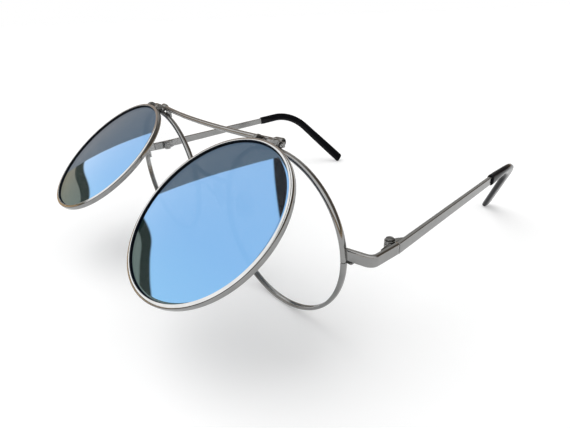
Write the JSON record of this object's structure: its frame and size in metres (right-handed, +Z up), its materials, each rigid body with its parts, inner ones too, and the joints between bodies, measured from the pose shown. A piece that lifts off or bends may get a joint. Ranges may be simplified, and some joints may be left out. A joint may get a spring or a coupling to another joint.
{
  "type": "flip up sunglasses",
  "caption": "Round wire-frame eyeglasses with clear lenses, mirrored sun lenses hinged at the brow bar that flip up, folding temples with black tips and nose pads.",
  "frame": {"origin": "on the surface the glasses stand on, at the centre of the whole object's footprint box with the temples open and the front lenses half open", "axes": "+X is the wearer's left, -Y is forwards out of the front, +Y runs back along the temples, +Z is up"},
  "size_m": [0.1402, 0.1637, 0.0552],
  "materials": {
    "frame_metal": "polished silver nickel plate, lightly hazed",
    "hinge_metal": "nickel plate, slightly duller than the frame",
    "screw_steel": "turned stainless screw steel",
    "mirror_lens": "glossy blue mirror coat on a dark grey tinted lens",
    "clear_lens": "clear polished optical plastic",
    "tip_plastic": "polished black acetate",
    "pad_silicone": "soft translucent silicone"
  },
  "bodies": {
    "frame": {"rear_rim_left": "frame_metal", "rear_rim_right": "frame_metal", "clear_lens_left": "clear_lens", "clear_lens_right": "clear_lens", "brow_bar": "frame_metal", "brow_web_left": "frame_metal", "brow_web_right": "frame_metal", "nose_bridge": "frame_metal", "endpiece_left": "frame_metal", "endpiece_right": "frame_metal", "rim_lock_left": "frame_metal", "rim_lock_right": "frame_metal", "rim_screw_left": "screw_steel", "rim_screw_right": "screw_steel", "front_leaf_left": "hinge_metal", "front_leaf_right": "hinge_metal", "flip_barrel_left": "hinge_metal", "flip_barrel_right": "hinge_metal", "pad_arm_left": "frame_metal", "pad_arm_right": "frame_metal", "pad_screw_left": "screw_steel", "pad_screw_right": "screw_steel"},
    "pad_left": {"nose_pad_left": "pad_silicone"},
    "pad_right": {"nose_pad_right": "pad_silicone"},
    "flip_left": {"front_rim_left": "frame_metal", "mirror_lens_left": "mirror_lens", "inner_lug_left": "hinge_metal", "outer_lug_left": "hinge_metal", "flip_screw_left": "screw_steel", "flip_spring_left": "screw_steel"},
    "flip_right": {"front_rim_right": "frame_metal", "mirror_lens_right": "mirror_lens", "inner_lug_right": "hinge_metal", "outer_lug_right": "hinge_metal", "flip_screw_right": "screw_steel", "flip_spring_right": "screw_steel"},
    "temple_left": {"temple_bar_left": "frame_metal", "temple_leaf_left": "hinge_metal", "temple_screw_left": "screw_steel", "temple_tip_left": "tip_plastic"},
    "temple_right": {"temple_bar_right": "frame_metal", "temple_leaf_right": "hinge_metal", "temple_screw_right": "screw_steel", "temple_tip_right": "tip_plastic"}
  },
  "joints": [
    {"name": "flip_left_tilt", "type": "hinge", "parent": "frame", "child": "flip_left", "pos_m": [0.03602, -0.0381, 0.0532], "axis": [-0.9994, -0.0349, 0], "range_deg": [-53.8, 36.2]},
    {"name": "flip_right_tilt", "type": "hinge", "parent": "frame", "child": "flip_right", "pos_m": [-0.03602, -0.0381, 0.0532], "axis": [-0.9994, 0.0349, 0], "range_deg": [-53.8, 36.2]},
    {"name": "temple_left_fold", "type": "hinge", "parent": "frame", "child": "temple_left", "pos_m": [0.067, -0.02401, 0.0284], "axis": [0, 0, 1], "range_deg": [0, 84]},
    {"name": "temple_right_fold", "type": "hinge", "parent": "frame", "child": "temple_right", "pos_m": [-0.067, -0.02401, 0.0284], "axis": [0, 0, -1], "range_deg": [0, 79]},
    {"name": "pad_left_rock", "type": "hinge", "parent": "frame", "child": "pad_left", "pos_m": [0.01035, -0.03146, 0.0226], "axis": [0.5, 0.866, 0], "range_deg": [-10, 10]},
    {"name": "pad_right_rock", "type": "hinge", "parent": "frame", "child": "pad_right", "pos_m": [-0.01035, -0.03146, 0.0226], "axis": [-0.5, 0.866, 0], "range_deg": [-10, 10]}
  ]
}
